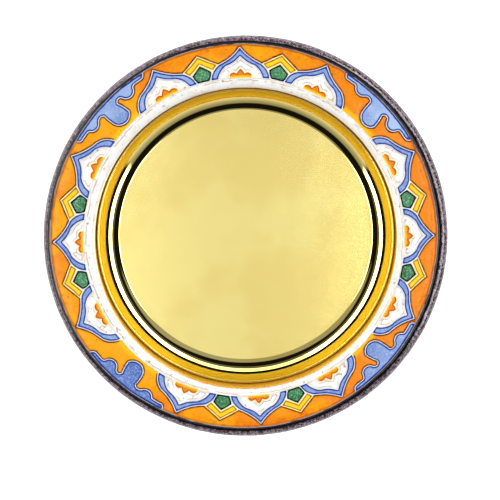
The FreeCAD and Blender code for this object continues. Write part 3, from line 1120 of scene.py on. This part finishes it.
def make_floor():
    mesh = bpy.data.meshes.new("floor")
    half = FLOOR_HALF
    corners = [(-half, -half, 0), (half, -half, 0), (half, half, 0), (-half, half, 0)]
    mesh.from_pydata(corners, [], [(0, 1, 2, 3)])
    floor = bpy.data.objects.new("floor", mesh)
    bpy.context.scene.collection.objects.link(floor)
    paint = Paint("pale_floor", 0.9)
    paint.colour((0.88, 0.88, 0.88, 1))
    paint.shader.inputs["Emission Color"].default_value = (1, 1, 1, 1)
    paint.shader.inputs["Emission Strength"].default_value = 0.45
    mesh.materials.append(paint.material)


def make_light():
    """A colourless studio: a soft panel overhead, dark gaps, and bright boxes east and west.

    Angles are in degrees: from straight up, or across and along the plate.
    """
    world = bpy.data.worlds.new("studio")
    bpy.context.scene.world = world
    world.use_nodes = True
    sky = Nodes(world.node_tree)
    calc = sky.math
    times = sky.times
    ramp = sky.ramp
    within = sky.within
    background = sky.tree.nodes["Background"]

    x, y, z = sky.parts(sky.node("ShaderNodeTexCoord").outputs["Generated"])
    degrees = 180 / math.pi
    from_top = times(calc("ARCCOSINE", z), degrees)
    level = calc("MAXIMUM", calc("SQRT", calc("ADD", times(x, x), times(y, y))), 1e-4)
    east = calc("DIVIDE", x, level)
    north = calc("DIVIDE", y, level)
    across = times(calc("ARCTAN2", x, z), degrees)
    along = times(calc("ARCTAN2", y, z), degrees)
    sideways = calc("ABSOLUTE", across)

    panel = within(along, -15.0, -2.0, 0.8)
    glow = calc("MULTIPLY_ADD", ramp(calc("ABSOLUTE", calc("SUBTRACT", across, 1.4)), 1.5, 5.0), 0.25, 0.95)
    strips = times(within(sideways, 7.0, 11.5, 0.8), 5.0)
    bright = times(panel, calc("MULTIPLY_ADD", ramp(sideways, 7.0, 5.5), glow, strips))
    behind = times(within(along, -2.0, 17.0, 1.0), times(ramp(sideways, 26.0, 20.0), 0.42))
    sliver = times(within(along, -21.0, -16.5, 1.0), times(ramp(sideways, 14.0, 10.0), 0.35))

    belt = calc("ADD", within(from_top, 48.0, 56.5, 0.8), within(from_top, 58.5, 65.0, 0.8))
    boxes = times(ramp(calc("ABSOLUTE", east), 0.45, 0.62), ramp(north, -0.64, -0.58))
    boxes = calc("ADD", times(boxes, 6.5), times(ramp(north, 0.6, 0.85), 2.4))
    faint = times(within(from_top, 38.0, 45.0, 1.0), times(ramp(north, -0.6, -0.4), 0.18))
    south = times(ramp(north, -0.58, -0.64), ramp(from_top, 46.0, 52.0))
    rise = calc("MULTIPLY_ADD", ramp(from_top, 52.0, 90.0), 0.6, 0.36)
    low = times(ramp(from_top, 84.0, 90.0), 0.5)

    total = calc("ADD", calc("ADD", bright, behind), calc("ADD", sliver, faint))
    total = calc("ADD", total, times(belt, boxes))
    total = calc("ADD", total, calc("MULTIPLY_ADD", south, rise, low))
    total = calc("ADD", total, 0.008)
    sky.link(total, background.inputs["Strength"])
    background.inputs["Color"].default_value = (1, 1, 1, 1)


CAMERA_DISTANCE = 0.80
CAMERA_LEAN = math.radians(8.2)
CAMERA_TURN = math.radians(10.0)
FRAME_WIDTH = 0.2511
SENSOR = 36
AIM = Vector((0.0018, -0.0050, BORDER * MM))


def make_camera():
    """Almost straight above the plate, leaning towards its top and a little to its left."""
    data = bpy.data.cameras.new("camera")
    camera = bpy.data.objects.new("camera", data)
    bpy.context.scene.collection.objects.link(camera)
    away = Vector((
        -math.sin(CAMERA_LEAN) * math.sin(CAMERA_TURN),
        math.sin(CAMERA_LEAN) * math.cos(CAMERA_TURN),
        math.cos(CAMERA_LEAN),
    ))
    back = away.normalized()
    up = (Vector((0, 1, 0)) - back * back.y).normalized()
    right = up.cross(back)
    turn = Matrix((right, up, back)).transposed().to_4x4()
    turn.translation = AIM + away * CAMERA_DISTANCE
    camera.matrix_world = turn
    data.sensor_width = SENSOR
    data.lens = SENSOR * CAMERA_DISTANCE / FRAME_WIDTH
    data.clip_start = 0.01
    bpy.context.scene.camera = camera


make_floor()
make_light()
make_camera()
bpy.context.scene.view_settings.view_transform = "Standard"
